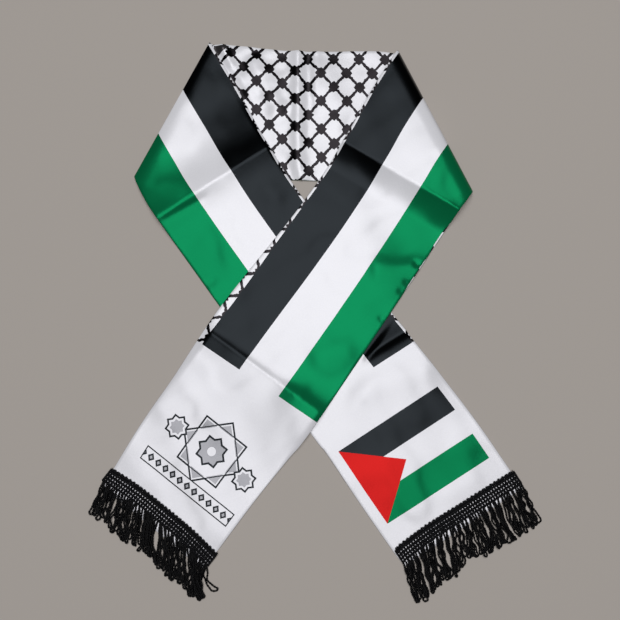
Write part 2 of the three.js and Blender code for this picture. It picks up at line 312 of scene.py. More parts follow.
class Field:
    """A number that varies over the surface: a shader socket that takes part in arithmetic."""

    def __init__(self, tree, socket):
        self.tree, self.socket = tree, socket

    def do(self, operation, *others):
        """The field put through a math node, with other fields or numbers as its next inputs."""
        node = self.tree.nodes.new("ShaderNodeMath")
        node.operation = operation
        for slot, value in zip(node.inputs, (self, *others)):
            if isinstance(value, Field):
                self.tree.links.new(value.socket, slot)
            else:
                slot.default_value = value
        return Field(self.tree, node.outputs[0])

    __add__ = partialmethod(do, "ADD")
    __sub__ = partialmethod(do, "SUBTRACT")
    __mul__ = partialmethod(do, "MULTIPLY")
    __truediv__ = partialmethod(do, "DIVIDE")
    __abs__ = partialmethod(do, "ABSOLUTE")
    less = partialmethod(do, "LESS_THAN")
    over = partialmethod(do, "GREATER_THAN")
    most = partialmethod(do, "MAXIMUM")
    least = partialmethod(do, "MINIMUM")
    repeat = partialmethod(do, "FLOORED_MODULO")

    def rise(self, start, end):
        """0 before start and 1 past end, smooth between."""
        node = self.tree.nodes.new("ShaderNodeMapRange")
        node.interpolation_type = "SMOOTHSTEP"
        self.tree.links.new(self.socket, node.inputs["Value"])
        node.inputs["From Min"].default_value = start
        node.inputs["From Max"].default_value = end
        return Field(self.tree, node.outputs["Result"])


def new_material(name, roughness, gloss):
    """Node material with a plain roughness and specular level, its tree and its shader."""
    material = bpy.data.materials.new(name)
    material.use_nodes = True
    shader = material.node_tree.nodes["Principled BSDF"]
    shader.inputs["Roughness"].default_value = roughness
    shader.inputs["Specular IOR Level"].default_value = gloss
    return material, material.node_tree, shader


def cloth_place(tree):
    """The two numbers of the piece's own UV map: the way round it, and the run in millimetres."""
    uv = tree.nodes.new("ShaderNodeUVMap")
    uv.uv_map = "cloth"
    split = tree.nodes.new("ShaderNodeSeparateXYZ")
    tree.links.new(uv.outputs["UV"], split.inputs[0])
    return Field(tree, split.outputs["X"]), Field(tree, split.outputs["Y"]) / MM


def add_bump(tree, shader, height, strength, distance):
    """Bump from a field of heights, its distance in metres."""
    bump = tree.nodes.new("ShaderNodeBump")
    bump.inputs["Strength"].default_value = strength
    bump.inputs["Distance"].default_value = distance
    tree.links.new(height.socket, bump.inputs["Height"])
    tree.links.new(bump.outputs["Normal"], shader.inputs["Normal"])


def new_group(name, inputs, outputs):
    """Empty shader node group with number inputs, and colour or number outputs by name."""
    group = bpy.data.node_groups.new(name, "ShaderNodeTree")
    for socket in inputs:
        group.interface.new_socket(socket, in_out="INPUT", socket_type="NodeSocketFloat")
    for socket, kind in outputs.items():
        group.interface.new_socket(socket, in_out="OUTPUT", socket_type="NodeSocket" + kind)
    entry = group.nodes.new("NodeGroupInput")
    exit_node = group.nodes.new("NodeGroupOutput")
    return group, [Field(group, entry.outputs[socket]) for socket in inputs], exit_node


def use_group(tree, group, fields):
    """Places a group in a tree, feeds it the fields and returns the node."""
    node = tree.nodes.new("ShaderNodeGroup")
    node.node_tree = group
    for slot, value in zip(node.inputs, fields):
        tree.links.new(value.socket, slot)
    return node


def paint(tree, mask, under, over):
    """Colour over laid on colour under where mask is 1. Colours are sockets or tuples."""
    node = tree.nodes.new("ShaderNodeMix")
    node.data_type = "RGBA"
    tree.links.new(mask.socket, node.inputs["Factor"])
    for slot, colour in ((node.inputs[6], under), (node.inputs[7], over)):
        if isinstance(colour, tuple):
            slot.default_value = (*colour, 1.0)
        else:
            tree.links.new(colour, slot)
    return node.outputs[2]


def painted(tree, colour, *coats):
    """Colour with one coat after another laid on it. A coat is its mask and its own colour."""
    for mask, over in coats:
        colour = paint(tree, mask, colour, over)
    return colour


def noise_field(tree, vector, scale, detail=3.0, roughness=0.5):
    """Even noise from 0 to 1. The scale is in features for each unit of the vector."""
    node = tree.nodes.new("ShaderNodeTexNoise")
    node.inputs["Scale"].default_value = scale
    node.inputs["Detail"].default_value = detail
    node.inputs["Roughness"].default_value = roughness
    tree.links.new(vector, node.inputs["Vector"])
    return Field(tree, node.outputs["Fac"])


PRINT_BLACK = (0.0062, 0.0072, 0.0082)
PRINT_WHITE = (0.632, 0.63, 0.664)
PANEL_WHITE_SHADED = (0.59, 0.587, 0.62)     # the end panels' white, a little darker as painted shade where less light falls
PRINT_GREEN = (0.0025, 0.124, 0.046)
FLAG_GREEN = (0.002, 0.098, 0.036)    # the flag's green is a little darker than the stripes'
PRINT_RED = (0.3, 0.009, 0.0085)
PRINT_GREY = (0.19, 0.19, 0.205)
NET_BLACK = (0.0096, 0.0086, 0.0096)
CORNER_PRINT_AND_SHEEN = (0.06, 0.055, 0.058)   # black of the stripe rolled onto the net's start, painted grey as a painted sheen

NET_ALONG = 27.1             # pitch of the fishnet's knots along the scarf and across it
NET_ACROSS = 30.24
NET_LINE = 1.5               # half the width of its lines
KNOT_ALONG = 5.9             # half the size of its knots
KNOT_ACROSS = 6.3
NET_WANDER = 2.2             # how far its drawing strays, there and back


def keffiyeh_net():
    """Fishnet of the keffiyeh: knots on a diamond lattice, joined by diagonal lines. In lattice
    numbers e = a + b and f = a - b, a line runs wherever e or f is whole and a knot sits where
    both are, of a shape between a circle and a diamond. Noise makes the edges as ragged as drawn
    stitches. Puts out a mask of the ink."""
    roundness, raggedness, line_raggedness = 0.3, 0.35, 0.6
    wander_along, wander_way, ragged_scale = 0.31, 0.27, 0.85
    group, (way, along), result = new_group("keffiyeh net", ["way", "along"], {"ink": "Float"})
    place = group.nodes.new("ShaderNodeCombineXYZ")
    group.links.new(way.socket, place.inputs["X"])
    group.links.new(along.socket, place.inputs["Y"])
    drawn_along = along + (noise_field(group, place.outputs[0], wander_along, 1.0) - 0.5) * NET_WANDER
    drawn_way = way + (noise_field(group, place.outputs[0], wander_way, 1.0) - 0.5) * NET_WANDER
    ragged = noise_field(group, place.outputs[0], ragged_scale, 1.0) - 0.5
    line_spread = 1 / np.hypot(1 / NET_ALONG, 1 / NET_ACROSS)
    a = drawn_along / NET_ALONG
    b = drawn_way / NET_ACROSS
    off_e = (a + b + 0.5).repeat(1.0) - 0.5
    off_f = (a - b + 0.5).repeat(1.0) - 0.5
    line = (abs(off_e).least(abs(off_f)) * line_spread - ragged * line_raggedness).less(NET_LINE)
    knot_along = (off_e + off_f) * (NET_ALONG / 2 / KNOT_ALONG)
    knot_across = (off_e - off_f) * (NET_ACROSS / 2 / KNOT_ACROSS)
    circle = (knot_along * knot_along + knot_across * knot_across) * roundness
    diamond = (abs(knot_along) + abs(knot_across)) * (1 - roundness)
    knot = (circle + diamond - ragged * raggedness).less(1.0)
    group.links.new(line.most(knot).socket, result.inputs["ink"])
    return group


def national_flag():
    """Three bars, black over white over green, with a red triangle at the hoist. Inputs are the
    distance from the hoist and the height above the lower edge, in millimetres."""
    group, (run, height), result = new_group("flag", ["run", "height"], {"ink": "Color", "mask": "Float"})
    width, full, triangle = 118.8, 85.8, 51.0
    bar = full / 3
    inside = run.over(0.0) * run.less(width) * height.over(0.0) * height.less(full)
    slope = abs(height - full / 2) * (triangle / (full / 2)) + run
    colour = painted(group, PANEL_WHITE_SHADED, (height.less(bar), FLAG_GREEN),
                     (height.over(2 * bar), PRINT_BLACK), (slope.less(triangle), PRINT_RED))
    group.links.new(colour, result.inputs["ink"])
    group.links.new(inside.socket, result.inputs["mask"])
    return group


def star_ornament():
    """Plain geometric ornament: an eight-pointed star of two crossed squares with a lined rim,
    a smaller star and a dot inside it, a small star at each side, and a ruled band of lozenges
    below. Inputs are the distances right of its middle and above its middle, in millimetres."""
    star_up, star_half, small_half, small_rim, dot = 8.0, 25.0, 12.0, 2.0, 4.5
    rim_line, square_line, points_inset, overlap_inset = 0.9, 0.55, 2.2, 1.4
    side_out, side_down, side_half, side_rim, side_line, side_inset = 43.0, 2.0, 8.5, 0.8, 1.0, 3.0
    band_down, band_half, band_line, band_reach = 33.5, 7.5, 1.2, 57.0
    lozenge_pitch, lozenge_half, heart_half, lozenge_stretch = 9.5, 4.6, 2.0, 1.15
    group, (run, height), result = new_group("star ornament", ["run", "height"],
                                             {"ink": "Color", "mask": "Float"})

    def star(x, y, size):
        """Distance outside a star: the nearer of an upright square and one turned by 45 degrees."""
        upright = abs(x).most(abs(y)) - size
        turned = (abs(x) + abs(y)) * np.sqrt(0.5) - size
        return upright, turned

    up = height - star_up
    upright, turned = star(run, up, star_half)
    body = upright.least(turned)
    squares = abs(upright).least(abs(turned)).less(square_line) * body.less(0.0)
    small_upright, small_turned = star(run, up, small_half)
    small = small_upright.least(small_turned)
    core = (run * run + up * up).less(dot**2)
    colour = painted(group, PANEL_WHITE_SHADED, (body.less(-points_inset), PRINT_GREY),
                     (upright.most(turned).less(-overlap_inset), PANEL_WHITE_SHADED),
                     (small.less(0.0), PRINT_BLACK), (small.less(-small_rim), PRINT_GREY),
                     (core, PANEL_WHITE_SHADED), (squares, PRINT_BLACK),
                     (abs(body).less(rim_line), PRINT_BLACK))
    mask = body.less(rim_line)

    side = abs(run)
    side_upright, side_turned = star(side - side_out, up + side_down, side_half)
    side_body = side_upright.least(side_turned)
    side_colour = painted(group, PRINT_BLACK, (side_body.less(-side_line), PANEL_WHITE_SHADED),
                          (side_body.less(-side_inset), PRINT_GREY))
    colour = paint(group, side_body.less(side_rim), colour, side_colour)
    mask = mask.most(side_body.less(side_rim))

    from_band = abs(height + band_down)
    in_band = from_band.less(band_half) * side.less(band_reach)
    tooth = abs((run + lozenge_pitch / 2).repeat(lozenge_pitch) - lozenge_pitch / 2)
    from_lozenge = tooth * lozenge_stretch + from_band
    band_colour = painted(group, PANEL_WHITE_SHADED, (from_band.over(band_half - band_line), PRINT_BLACK),
                          (from_lozenge.less(lozenge_half), PRINT_BLACK),
                          (from_lozenge.less(heart_half), PRINT_GREY),
                          (side.over(band_reach - band_line), PRINT_BLACK))
    colour = paint(group, in_band, colour, band_colour)
    mask = mask.most(in_band)
    group.links.new(colour, result.inputs["ink"])
    group.links.new(mask.socket, result.inputs["mask"])
    return group


# Where each print lies, in millimetres round the tube from its black edge (way) and along it.
STRIPE_END_UNDER = 176.8     # from the under tail's end to its stripes
STRIPE_END_OVER = 168.0      # the same on the over tail, at its black edge
END_SKEW = 0.07              # the over tail's stripes end askew: so much more per millimetre across
BLACK_STRIPE = 47.0
WHITE_STRIPE = 92.5
STRIPE_SHIFT = 0.95          # the stripes' shift across the cloth at the under tail's end
STRIPE_SHIFTS = table("name start end amount",
    ("under the crossing", 410.0, 520.0, 2.1),
    ("before the left fold", 600.0, 700.0, -2.1),
    ("down the over tail", 800.0, 1130.0, 2.5))
BLACK_WIDENS = table("name start end amount", ("towards the under tail's end", 260.0, 200.0, 1.1))
FIRST_KNOTS_IN = 11.33       # from the join with the black stripe to the first row of knots
FIRST_KNOTS_ALONG = 7.15
NET_STRETCH = 0.032          # the net is printed a little longer past this place
STRETCH_START = 752.0
NET_ROLL = 2.6               # strip of the net that rolls over the black edge
NET_ROLLS = table("name start end amount",         # by the distance from the over tail's end
    ("wider below the crossing", 345.0, 215.0, 5.0),
    ("narrower at the panel", 215.0, 175.0, -1.0))
NET_PEEKS = table("name start end amount",         # strip of the net that shows at the green edge
    ("at the first pucker", 872.0, 882.0, 1.7),
    ("past it", 903.0, 911.0, -1.7),
    ("below it", 913.0, 922.0, 1.0),
    ("at the second pucker", 948.0, 958.0, -1.0))
CORNER_START = 558.0         # patch where the black stripe rolls onto the net at the left fold's black corner
CORNER_SIZE = 18.0
CORNER_IN = 1.5
FLAG_HOIST = 129.0           # way of the flag's hoist edge
FLAG_LOW = 39.5              # from the under tail's end to the flag's lower corner
FLAG_SLANT = 0.008           # how far the flag falls for each millimetre from its hoist
FLAG_TAPER = 0.00015         # share by which it grows taller for each of them
STAR_WAY = 75.0
STAR_ALONG = 82.0            # from the over tail's end
PANEL_NEAR = 120.0           # the painted shade on the panels' white fades into the stripes' white between these
PANEL_FAR = 300.0
SATIN_RIB = 0.55             # pitch of the satin's floats, round and along the tube
SATIN_FLOAT = 0.8
RIB_HEIGHT = 0.042           # their height in the bump
FLOAT_HEIGHT = 0.024
PUCKER_HEIGHT = 0.8          # the cloth's fine puckers: their height, and their number a metre
PUCKER_SCALE = 160.0
MOTTLE = 0.12                # its fine light and dark spots: their range, and their number a metre
MOTTLE_SCALE = 900.0
DYED_LUSTRE = 0.32           # metallic level of the green and the red, where the black's is 1
WHITE_LUSTRE = 0.092


def drift(place, first, changes):
    """A value that is first at the start and changes by each row's amount from place to place."""
    for change in changes:
        first = place.rise(change["start"], change["end"]) * change["amount"] + first
    return first


def printed_satin(length):
    """Satin with its dye print: stripes, flag and star on the front, the keffiyeh net on the back
    and rolled a few millimetres round the black edge. length is the print's, from end to end."""
    material, tree, shader = new_material("printed satin", 0.29, 0.0)
    way, along = cloth_place(tree)
    way = (way / MM).repeat(2 * SCARF_WIDTH)
    from_over_end = along * -1.0 + length

    roll = drift(from_over_end, NET_ROLL, NET_ROLLS)
    past_over_stripes = from_over_end - way * END_SKEW
    striped = along.over(STRIPE_END_UNDER) * past_over_stripes.over(STRIPE_END_OVER)
    front = way.less(SCARF_WIDTH)
    peek = drift(along, 0.0, NET_PEEKS)
    netted = way.less(roll).most(way.over(peek * -1.0 + SCARF_WIDTH)) * striped
    past_edge = (way + SCARF_WIDTH).repeat(2 * SCARF_WIDTH) - SCARF_WIDTH
    stretched = (along - STRETCH_START).most(0.0) * NET_STRETCH
    net = use_group(tree, keffiyeh_net(), [past_edge - roll + FIRST_KNOTS_IN,
                                           along - stretched - FIRST_KNOTS_ALONG])
    net_ink = Field(tree, net.outputs["ink"])

    shift = drift(along, STRIPE_SHIFT, STRIPE_SHIFTS)
    black_end = shift + drift(along, BLACK_STRIPE, BLACK_WIDENS)
    before_green = (way - shift).less(WHITE_STRIPE)
    stripes = painted(tree, PRINT_GREEN, (before_green, PRINT_WHITE), (way.less(black_end), PRINT_BLACK))
    # Painted shade: the white darkens from the stripes towards both ends of the scarf.
    shade_towards_ends = along.rise(PANEL_FAR, PANEL_NEAR) + from_over_end.rise(PANEL_FAR, PANEL_NEAR)
    panel = paint(tree, shade_towards_ends.least(1.0), PRINT_WHITE, PANEL_WHITE_SHADED)
    stripes = paint(tree, before_green * way.over(black_end), stripes, panel)
    colour = paint(tree, striped, panel, stripes)

    from_hoist = way * -1.0 + FLAG_HOIST
    flag_height = (along - FLAG_LOW + from_hoist * FLAG_SLANT) * (from_hoist * -FLAG_TAPER + 1.0)
    flag = use_group(tree, national_flag(), [from_hoist, flag_height])
    flag_mask = Field(tree, flag.outputs["mask"]) * along.less(STRIPE_END_UNDER)
    colour = paint(tree, flag_mask, colour, flag.outputs["ink"])
    star = use_group(tree, star_ornament(), [way - STAR_WAY, from_over_end - STAR_ALONG])
    star_mask = Field(tree, star.outputs["mask"]) * from_over_end.less(STRIPE_END_OVER)
    colour = paint(tree, star_mask * front, colour, star.outputs["ink"])
    colour = painted(tree, colour, (netted, PRINT_WHITE), (netted * net_ink, NET_BLACK))
    # The black stripe rolls onto the net at the corner: its print is painted grey, a painted sheen on the
    # black.
    in_corner = (along - past_edge).less(CORNER_START + CORNER_SIZE) * along.over(CORNER_START)
    colour = paint(tree, in_corner * past_edge.less(-CORNER_IN), colour, CORNER_PRINT_AND_SHEEN)

    place = tree.nodes.new("ShaderNodeTexCoord").outputs["Object"]
    mottle = noise_field(tree, place, MOTTLE_SCALE, 2.0)
    shade = tree.nodes.new("ShaderNodeMix")
    shade.data_type = "RGBA"
    shade.blend_type = "MULTIPLY"
    shade.inputs["Factor"].default_value = 1.0
    tree.links.new(colour, shade.inputs[6])
    tree.links.new(((mottle - 0.5) * MOTTLE + 1.0).socket, shade.inputs[7])
    tree.links.new(shade.outputs[2], shader.inputs["Base Color"])

    weave = ((way * (2 * np.pi / SATIN_RIB)).do("SINE") * RIB_HEIGHT
             + (along * (2 * np.pi / SATIN_FLOAT)).do("SINE") * FLOAT_HEIGHT)
    pucker = noise_field(tree, place, PUCKER_SCALE, 2.0)
    add_bump(tree, shader, weave + pucker * PUCKER_HEIGHT, strength=0.06, distance=0.0006)

    # The satin's lustre is strongest on the black, less on the green and red, least on the white.
    channels = tree.nodes.new("ShaderNodeSeparateColor")
    tree.links.new(colour, channels.inputs[0])
    red, green = (Field(tree, channels.outputs[k]) for k in range(2))
    dyed = red.most(green).rise(0.012, 0.11)
    white = green.rise(0.3, 0.6)
    lustre = dyed * (DYED_LUSTRE - 1.0) + white * (WHITE_LUSTRE - DYED_LUSTRE) + 1.0
    tree.links.new(lustre.socket, shader.inputs["Metallic"])
    return material


def inset_from_fold(section, distance):
    """Black and green end of a fold's line, moved inward, and the outward direction."""
    black, green = np.array(section["black"]), np.array(section["green"])
    along = (green - black) / np.linalg.norm(green - black)
    outward = np.array([-along[1], along[0]])
    outward *= -np.sign(outward @ -black)
    return black - outward * distance, green - outward * distance, outward


# Creases that stand up or dip from the flat cloth. Heights and widths are in millimetres, and
# the power is that of the ridge's fall, sharp near 1 and round at 2.
CREASE_COLUMNS = "name start end height left right power fade step slide"
NECK_CREASES = table(CREASE_COLUMNS,
    ("middle crease", (-17.5, 281.0), (-16.5, 142.0), 3.6, 8.0, 5.0, 1.2, 6.0),
    ("fold beside it", (-6.0, 276.0), (-4.0, 190.0), -1.8, 5.0, 7.0, 2.0, 12.0),
    ("second fold beside it", (3.0, 282.0), (1.0, 236.0), 1.5, 5.0, 9.0, 1.5, 12.0),
    ("lump left of it", (-62.0, 262.0), (-38.0, 214.0), 2.2, 10.0, 10.0, 2.0, 10.0),
    ("lump right of it", (10.0, 255.0), (22.0, 200.0), 1.6, 15.0, 12.0, 2.0, 12.0),
    ("lump at the left corner", (-84.0, 250.0), (-70.0, 226.0), 2.0, 7.0, 7.0, 2.0, 9.0),
    ("corner roll", (-98.0, 279.0), (-90.0, 262.0), 5.0, 5.0, 8.0, 2.0, 5.0))

TURN_GAP = 0.02              # air left for the tails' curls
PRESSED_TO = 1.0             # the neck's creases are pressed flat this near the tails,
FREE_FROM = 12.0             # and stand up in full this far from them
CALM = 0.6                   # share by which the fine ripples shrink towards the right,
CALM_FROM = -25.0            # between these two places
CALM_TO = 15.0
neck_sections = [dict(s) for s in NECK_SECTIONS]
for neck_end in (neck_sections[0], neck_sections[-1]):
    inset_black, inset_green, _ = inset_from_fold(neck_end, TURN_REACH + HALF + TURN_GAP)
    neck_end.update(black=tuple(inset_black), green=tuple(inset_green))
neck_black, neck_green = edge_curves(neck_sections)
neck_place, neck_share = across_rows(neck_black, neck_green)
neck_x = neck_place[..., 0]

# The neck's creases flatten out beneath the two tails, whose black edges meet at the crossing.
crossing = (-10.0, 116.5)
left_tail_edge = beyond(neck_place, UNDER_TAIL_SECTIONS[0]["black"], crossing, (300.0, 300.0))
right_tail_edge = beyond(neck_place, OVER_TAIL_SECTIONS[0]["black"], crossing, (-300.0, 300.0))
neck_free = smooth_rise(np.minimum(left_tail_edge, right_tail_edge), PRESSED_TO, FREE_FROM)
neck_rise = crease_height(neck_place, NECK_CREASES) + ripples(
    neck_place, seed=3, height=0.5, shortest=30.0, longest=80.0)
fine_ripples = ripples(neck_place, seed=7, height=0.6, shortest=15.0, longest=32.0)
neck_rise = neck_rise + fine_ripples * (1 - CALM * smooth_rise(neck_x, CALM_FROM, CALM_TO))
neck_surface = np.dstack([neck_place, HALF + np.maximum(neck_rise, 0) * neck_free])

# The scarf's run starts at the under tail's end, so the neck starts where that tail's edges stop,
# give or take the skew of the satin, which leads its green edge a little ahead there.
NECK_GREEN_START = 480.1
HEM = 5.0                    # cloth past the place at each end that the print is measured from
NECK_PRINT_DROP = 2.6        # the net's shift across the cloth, left of the middle crease
under_black_run, under_green_run = (run_lengths(edge, True)[0] - HEM for edge in edge_curves(
    UNDER_TAIL_SECTIONS, crowd_start=True))
neck_along = along_scarf(neck_black, neck_green, neck_share, under_black_run, NECK_GREEN_START, 1)
left_of_crease = 1 - smooth_rise(neck_x, -26.0, -12.0)
off_the_edges = smooth_rise(neck_share, 0.0, 0.2) * smooth_rise(1 - neck_share, 0.0, 0.1)
neck = flat_tube("neck_cloth", neck_surface, neck_share, neck_along,
                 NECK_PRINT_DROP * left_of_crease * off_the_edges)

over_start = under_black_run + run_lengths(edge_curves(NECK_SECTIONS)[0], False)[-1]
over_black_length = run_lengths(edge_curves(OVER_TAIL_SECTIONS, crowd_start=True)[0], False)[-1]
scarf_length = over_start + over_black_length - HEM
satin = printed_satin(float(scarf_length))
neck.data.materials.append(satin)
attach(neck, "root")
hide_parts("neck_stretch")


# ---------------------------------------------------------------------------------------------
# Under tail. The same strip after the left diagonal fold: stripes up, lying on the neck stretch
# at its start and on the floor beyond it, with the printed flag on its white end. It turns over
# in one soft unpressed fold.
# ---------------------------------------------------------------------------------------------
ROLL_OFF = 18.0              # width of the rounded shoulder beside a fold
TIGHT_ROLL = 5.0             # width of its tight outermost part
TIGHT_SHARE = 0.5            # that part's share of the rise
CURL_ROWS = 6                # rows of the curl outside it
INSET_ROWS = 20              # rows over which the fold's line eases back to the cloth's edge
LEDGE = 3.0                  # how far a stretch stays up past the edge that it lies on
WIDE_LEDGE = 20.0            # the same for the over tail at the neck
SLOPE = 34.0                 # and the length it comes down in
WIDE_SLOPE = 60.0            # the same for the over tail off the under tail
CREASE_PRESS = 8.0           # creases are pressed flat this near a tail that lies on them
SWELL_PRESS = 26.0
SHOULDER_POWER = 2.4         # of the gentle part of the rounded shoulder
BRAID_HOLDS = 12.0           # distance from the end within which the braid holds the cloth flat,
BRAID_FREES = 40.0           # and from which it no longer does

UNDER_CREASES = table(CREASE_COLUMNS,
    ("upper crease", (-161.0, 96.8), (-48.4, 169.0), 8.8, 34.0, 20.0, 1.2, 5.0),
    ("its sharp top", (-161.0, 96.8), (-48.4, 169.0), 0.2, 1.2, 1.4, 1.3, 4.0),
    ("roll at the fold", (-102.5, 282.3), (-178.7, 137.0), 1.8, 24.0, 7.5, 2.0, 10.0),
    ("hollow below it", (-150.0, 97.0), (-118.0, 116.0), -0.7, 3.0, 5.0, 2.0, 8.0),
    ("swell below it", (-110.0, 80.0), (-60.0, 100.0), 0.8, 16.0, 16.0, 2.0, 14.0),
    ("lower crease", (52.4, -43.4), (92.9, -18.5), 3.4, 11.5, 6.2, 1.5, 6.0),
    ("its sharp top", (52.4, -43.4), (92.9, -18.5), 0.2, 1.3, 1.3, 1.3, 4.0),
    ("seam pucker", (-111.0, 28.0), (-105.5, 31.0), -1.4, 2.6, 2.6, 2.0, 4.0),
    ("second pucker", (-99.0, 10.0), (-95.0, 13.0), -1.2, 2.6, 2.6, 2.0, 4.0))
UNDER_SWELLS = table(CREASE_COLUMNS,
    ("panel swell", (40.0, -80.0), (108.0, -62.0), 2.4, 20.0, 30.0, 1.7, 16.0),
    ("swell by the crossing", (-48.0, 126.0), (-34.0, 102.0), 1.5, 12.0, 14.0, 2.0, 12.0),
    ("swell at the flag", (62.0, -158.0), (74.0, -180.0), 0.7, 13.0, 16.0, 2.0, 14.0))


def tail_lift(place, sections, rests, creases, swells, seed, pressed=lambda width: 0.0):
    """Height of a tail's middle above the floor's layer: the layers it rests on, its creases and
    its soft swells, the even ones included. pressed is 1 where another tail lies on it, and
    fades out over a width beside that tail."""
    end = sections[-1]
    from_end = beyond(place, end["black"], end["green"], (0.0, 0.0))
    held_by_braid = 1 - smooth_rise(from_end, BRAID_HOLDS, BRAID_FREES)
    swell = ripples(place, seed, height=1.0, shortest=34.0, longest=105.0)
    soft = crease_height(place, swells) + swell * (1 - held_by_braid)
    lift = (crease_height(place, creases) * (1 - pressed(CREASE_PRESS))
            + soft * (1 - pressed(SWELL_PRESS)))
    return np.maximum(LAYER * rests + lift, 0)


def tail_middle(sections, lift):
    """Middle surface of a tail. Its first rows curl up from the neck's level in a quarter of an
    ellipse. Then the cloth rounds over a shoulder onto its own height: half the way in a tight
    ellipse, the rest as 1 minus a power of the share of the shoulder still to go."""
    black, green = edge_curves(sections, crowd_start=True)
    fold_black, fold_green, outward = inset_from_fold(sections[0], HALF)
    easing = 1 - smooth_rise(np.arange(len(black)), 0, INSET_ROWS)[:, None]
    black = black + (fold_black - np.array(sections[0]["black"])) * easing
    green = green + (fold_green - np.array(sections[0]["green"])) * easing
    place, share = across_rows(black, green)
    inward = beyond(place, fold_black, fold_green, (0.0, 0.0))
    tight = np.sqrt(1 - (1 - np.clip(inward / TIGHT_ROLL, 0, 1)) ** 2)
    gentle = 1 - (1 - np.clip(inward / ROLL_OFF, 0, 1)) ** SHOULDER_POWER
    shoulder = TIGHT_SHARE * tight + (1 - TIGHT_SHARE) * gentle
    height = HALF + TURN_RISE + (lift(place) - TURN_RISE) * shoulder
    upper = np.dstack([place, height])
    angle = np.linspace(0, np.pi / 2, CURL_ROWS + 1)[:-1, None, None]
    curl_place = place[:1] - outward * TURN_REACH * (1 - np.sin(angle))
    curl_height = HALF + TURN_RISE * (1 - np.cos(angle)) + 0 * curl_place[..., :1]
    curl = np.concatenate([curl_place, curl_height], axis=2)
    share = np.concatenate([np.repeat(share[:1], CURL_ROWS, axis=0), share])
    return np.concatenate([curl, upper]), share, black, green


def tail_along(black, green, share, black_start, green_start, direction):
    """Place along the scarf for a tail's rows, with the curl's rows counted back from the fold."""
    upper = along_scarf(black, green, share[CURL_ROWS:], black_start, green_start, direction)
    steps_back = direction * TURN_REACH * np.linspace(1, 0, CURL_ROWS + 1)[:-1, None]
    return np.concatenate([upper[:1] - steps_back, upper])


def on_neck(place, ledge):
    """1 where a tail lies on the neck stretch, and down to 0 past its lower edge."""
    past_green = beyond(place, NECK_SECTIONS[0]["green"], NECK_SECTIONS[-1]["green"], (0.0, 0.0))
    return cover(past_green, ledge, SLOPE)


def across_tail(place, first, last, black_side, green_side, ledge, slope):
    """1 between the black and the green edge of a tail, drawn from its first to its last section
    there, then down to 0 past either edge. The sides are points beyond the edges."""
    past_black = beyond(place, first["black"], last["black"], black_side)
    past_green = beyond(place, first["green"], last["green"], green_side)
    return cover(np.maximum(past_black, past_green), ledge, slope)


def under_over_tail(place, width):
    """1 where the over tail presses on the under tail, 0 from a width beside it."""
    first = find(OVER_TAIL_SECTIONS, "onto the under tail")
    last = find(OVER_TAIL_SECTIONS, "off the under tail")
    return across_tail(place, first, last, (-300.0, 300.0), (300.0, -300.0), 1.0, width)


def under_lift(place):
    """Height of the under tail: one layer up on the neck."""
    return tail_lift(place, UNDER_TAIL_SECTIONS, on_neck(place, LEDGE), UNDER_CREASES, UNDER_SWELLS, 11,
                     lambda width: under_over_tail(place, width))


under_middle, under_share, under_black, under_green = tail_middle(UNDER_TAIL_SECTIONS, under_lift)
under_along = tail_along(under_black, under_green, under_share, under_black_run, under_green_run, -1)
under_tail = flat_tube("under_tail_cloth", under_middle[::-1], under_share[::-1], under_along[::-1])
under_tail.data.materials.append(satin)
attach(under_tail, "root")
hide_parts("under_tail")


# ---------------------------------------------------------------------------------------------
# Over tail. The same strip after the right diagonal fold: stripes up, lying on the neck stretch,
# then across the under tail, then on the floor, with a printed star ornament on its white end.
# It keeps the sharp cross creases of the packet it was folded into.
# ---------------------------------------------------------------------------------------------
OVER_CREASES = table(CREASE_COLUMNS,
    ("upper crease", (33.0, 173.5), (148.0, 103.5), 0.0, 4.0, 4.0, 2.0, 4.0, 11.5, 29.0),
    ("roll at the green corner", (133.0, 168.0), (155.0, 124.0), 1.6, 7.0, 22.0, 2.0, 10.0),
    ("its sharp top", (113.0, 124.8), (148.0, 103.5), 0.5, 1.3, 1.2, 1.3, 3.0),
    ("fold into the pucker", (66.0, 45.0), (107.0, 45.0), 2.3, 11.0, 15.0, 2.0, 9.0),
    ("seam pucker", (104.0, 49.5), (112.0, 47.5), -1.8, 2.4, 2.4, 2.0, 2.5),
    ("second pucker", (94.0, 30.5), (99.0, 28.5), -1.3, 2.0, 2.0, 2.0, 2.5),
    ("third pucker", (88.0, 21.5), (93.0, 19.5), -1.1, 2.0, 2.0, 2.0, 2.5),
    ("pucker at the crossing", (68.0, -6.0), (75.0, -9.0), -1.3, 2.4, 2.4, 2.0, 3.0),
    ("lower crease", (-104.0, -22.2), (4.0, -100.2), 2.6, 5.5, 44.0, 1.35, 4.0),
    ("its sharp top", (-104.0, -22.2), (4.0, -100.2), 0.3, 1.2, 1.4, 1.3, 3.0),
    ("lift at the green edge", (-12.0, -87.0), (8.0, -101.0), 4.6, 15.0, 40.0, 1.5, 20.0))
OVER_SWELLS = table(CREASE_COLUMNS,
    ("swell at the green edge", (6.0, -45.0), (30.0, -36.0), 1.8, 12.0, 18.0, 2.0, 12.0),
    ("swell in the crossing", (40.0, 90.0), (70.0, 60.0), 0.8, 18.0, 18.0, 2.0, 16.0),
    ("panel swell", (-150.0, -100.0), (-128.0, -84.0), 1.1, 15.0, 15.0, 2.0, 12.0))


def on_under_tail(place):
    """1 where the over tail lies on the under tail."""
    first = find(UNDER_TAIL_SECTIONS, "going underneath")
    last = find(UNDER_TAIL_SECTIONS, "coming out")
    return across_tail(place, first, last, (200.0, 200.0), (-200.0, -200.0), LEDGE, WIDE_SLOPE)


def over_lift(place):
    """Height of the over tail: up to two layers up, at the crossing."""
    return tail_lift(place, OVER_TAIL_SECTIONS, on_neck(place, WIDE_LEDGE) + on_under_tail(place),
                     OVER_CREASES, OVER_SWELLS, 23)


